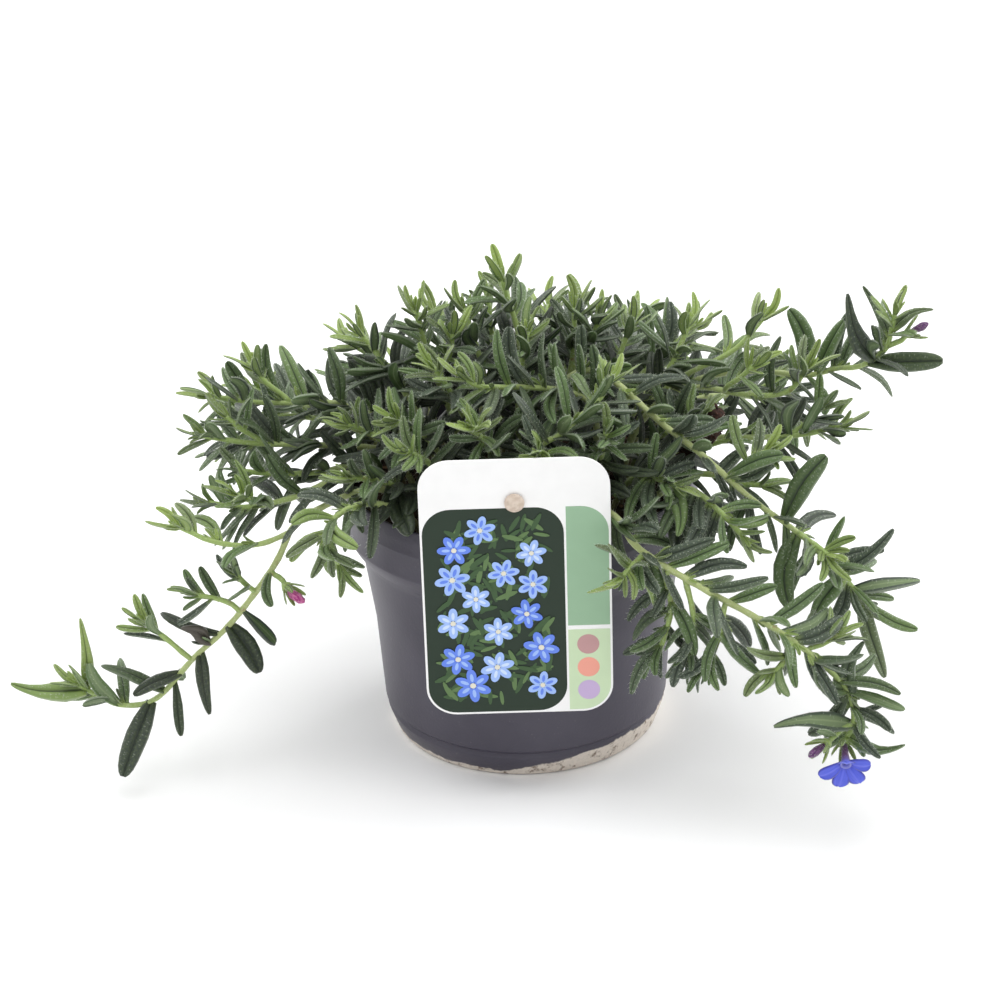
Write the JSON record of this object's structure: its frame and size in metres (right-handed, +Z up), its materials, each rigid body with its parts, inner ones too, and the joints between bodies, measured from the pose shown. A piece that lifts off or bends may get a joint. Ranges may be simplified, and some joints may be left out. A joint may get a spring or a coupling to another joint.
{
  "type": "potted trailing flowering plant",
  "caption": "Creeping evergreen with narrow hairy leaves and a blue funnel flower, trailing over the rim of a round grey nursery pot with a picture tag on a peg.",
  "frame": {"origin": "centre of the pot's underside, on the surface it stands on", "axes": "+Z up along the pot's axis; -Y towards the label, the front; +X to the right seen from the front, along the plant's longest reach"},
  "size_m": [0.3172, 0.2146, 0.1666],
  "materials": {
    "pot": "matte dark grey moulded polypropylene",
    "soil": "loose peat",
    "label": null,
    "peg": "beige moulded plastic",
    "leaf": "dark green hairy leaves on pale green stems",
    "corolla": "satin blue petals",
    "bud": "dark purple petals",
    "withered": "dry pink petals",
    "twig": "dead brown wood"
  },
  "bodies": {
    "root": {"pot": "pot", "soil": "soil", "label": "label", "label_stake": "peg", "stem_long_left": "leaf", "stem_left_low": "leaf", "stem_left_level": "leaf", "stem_left_rise": "leaf", "stem_left_high": "leaf", "stem_front_left_drop": "leaf", "stem_front_left_short": "leaf", "stem_front_left_rise": "leaf", "stem_up_left_low": "leaf", "stem_up_left": "leaf", "stem_up_centre_left": "leaf", "stem_tallest": "leaf", "stem_up_centre": "leaf", "stem_up_right": "leaf", "stem_up_far_right": "leaf", "stem_cross_centre": "leaf", "stem_front_centre": "leaf", "stem_front_rise": "leaf", "stem_front_right_rise": "leaf", "stem_front_right_out": "leaf", "stem_arching_right": "leaf", "stem_flowering": "leaf", "stem_front_right_hang": "leaf", "stem_right_low": "leaf", "stem_right_out": "leaf", "stem_right_level": "leaf", "stem_right_raised": "leaf", "stem_right_high": "leaf", "stem_right_back_rise": "leaf", "stem_back_right_trail": "leaf", "stem_back_right": "leaf", "stem_back_right_drop": "leaf", "stem_back_middle": "leaf", "stem_back_left_drop": "leaf", "stem_back_left": "leaf", "stem_back_left_trail": "leaf", "stem_left_back": "leaf", "stem_back_rise_left": "leaf", "stem_back_rise_middle": "leaf", "stem_back_rise_right": "leaf", "stem_left_shoulder": "leaf", "stem_middle_right": "leaf", "stem_middle_left": "leaf", "stem_left_middle": "leaf", "stem_left_centre": "leaf", "stem_centre_left": "leaf", "stem_centre": "leaf", "stem_centre_front": "leaf", "stem_right_centre": "leaf", "stem_right_shoulder": "leaf", "twig": "twig", "withered_corolla": "withered", "flower_corolla": "corolla", "bud_flowering": "bud", "bud_right_high": "bud"}
  },
  "joints": []
}
